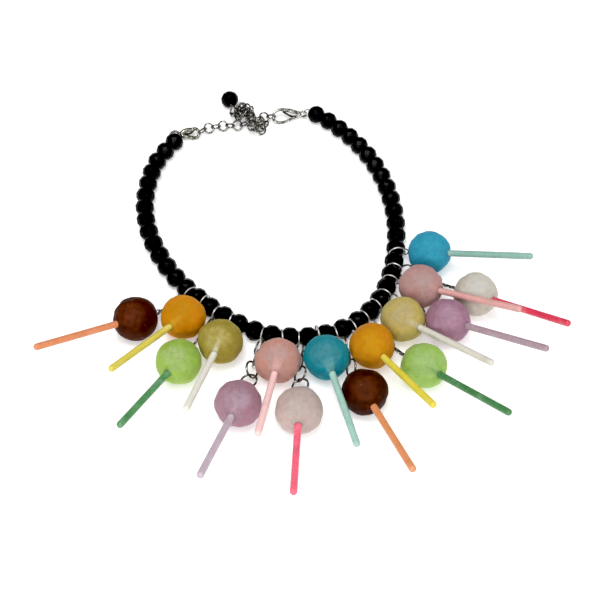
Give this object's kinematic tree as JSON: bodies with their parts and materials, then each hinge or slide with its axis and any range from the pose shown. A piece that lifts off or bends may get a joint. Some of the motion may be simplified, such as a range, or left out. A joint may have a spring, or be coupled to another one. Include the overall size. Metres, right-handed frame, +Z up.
{
  "type": "lollipop necklace",
  "caption": "Costume necklace of black faceted beads with coloured resin lollipop charms hung on jump rings, lobster clasps and an extender chain, lying flat.",
  "frame": {"origin": "on the table, under the middle of the outline seen from above", "axes": "+X towards the large clasp's side, +Y from the charms to the clasps (away from the viewer), +Z up from the table"},
  "size_m": [0.2034, 0.2262, 0.0264],
  "materials": {
    "black_glass": "opaque black, cut in facets and polished",
    "silver": "bright silver-coloured plating, a little worn and dark in the recesses",
    "resin_brown": "brown cast resin, cloudy and slightly translucent, satin skin with fine specks",
    "resin_orange": "amber cast resin, cloudy and slightly translucent, satin skin with fine specks",
    "resin_green": "green cast resin, cloudy and slightly translucent, satin skin with fine specks",
    "resin_olive": "olive cast resin, cloudy and slightly translucent, satin skin with fine specks",
    "resin_mauve": "mauve cast resin, cloudy and slightly translucent, satin skin with fine specks",
    "resin_pink": "pink cast resin, cloudy and slightly translucent, satin skin with fine specks",
    "resin_white": "greige cast resin, cloudy and slightly translucent, satin skin with fine specks",
    "resin_blue": "blue cast resin, cloudy and slightly translucent, satin skin with fine specks",
    "stick_brown": "solid-coloured plastic rod, satin",
    "stick_orange": "solid-coloured plastic rod, satin",
    "stick_green": "solid-coloured plastic rod, satin",
    "stick_olive": "solid-coloured plastic rod, satin",
    "stick_mauve": "solid-coloured plastic rod, satin",
    "stick_pink": "solid-coloured plastic rod, satin",
    "stick_white": "solid-coloured plastic rod, satin",
    "stick_blue": "solid-coloured plastic rod, satin"
  },
  "bodies": {
    "root": {"ball_01_brown": "resin_brown", "stick_01_brown": "stick_brown", "hanger_01": "silver", "ball_02_orange": "resin_orange", "stick_02_orange": "stick_orange", "hanger_02": "silver", "ball_03_green": "resin_green", "stick_03_green": "stick_green", "hanger_03": "silver", "ball_04_olive": "resin_olive", "stick_04_olive": "stick_olive", "hanger_04": "silver", "ball_05_mauve": "resin_mauve", "stick_05_mauve": "stick_mauve", "hanger_05": "silver", "ball_06_pink": "resin_pink", "stick_06_pink": "stick_pink", "hanger_06": "silver", "ball_07_white": "resin_white", "stick_07_white": "stick_white", "hanger_07": "silver", "ball_08_blue": "resin_blue", "stick_08_blue": "stick_blue", "hanger_08": "silver", "ball_09_brown": "resin_brown", "stick_09_brown": "stick_brown", "hanger_09": "silver", "ball_10_orange": "resin_orange", "stick_10_orange": "stick_orange", "hanger_10": "silver", "ball_11_green": "resin_green", "stick_11_green": "stick_green", "hanger_11": "silver", "ball_12_olive": "resin_olive", "stick_12_olive": "stick_olive", "hanger_12": "silver", "ball_13_mauve": "resin_mauve", "stick_13_mauve": "stick_mauve", "hanger_13": "silver", "ball_14_pink": "resin_pink", "stick_14_pink": "stick_pink", "hanger_14": "silver", "ball_15_white": "resin_white", "stick_15_white": "stick_white", "hanger_15": "silver", "ball_16_blue": "resin_blue", "stick_16_blue": "stick_blue", "hanger_16": "silver", "bead_string_1": "black_glass", "bead_string_2": "black_glass", "bead_string_3": "black_glass", "bead_string_4": "black_glass", "bead_string_5": "black_glass", "bead_string_6": "black_glass", "bead_string_7": "black_glass", "bead_string_8": "black_glass", "drop_bead": "black_glass", "extender_chain": "silver", "small_clasp": "silver", "large_clasp": "silver"}
  },
  "joints": []
}
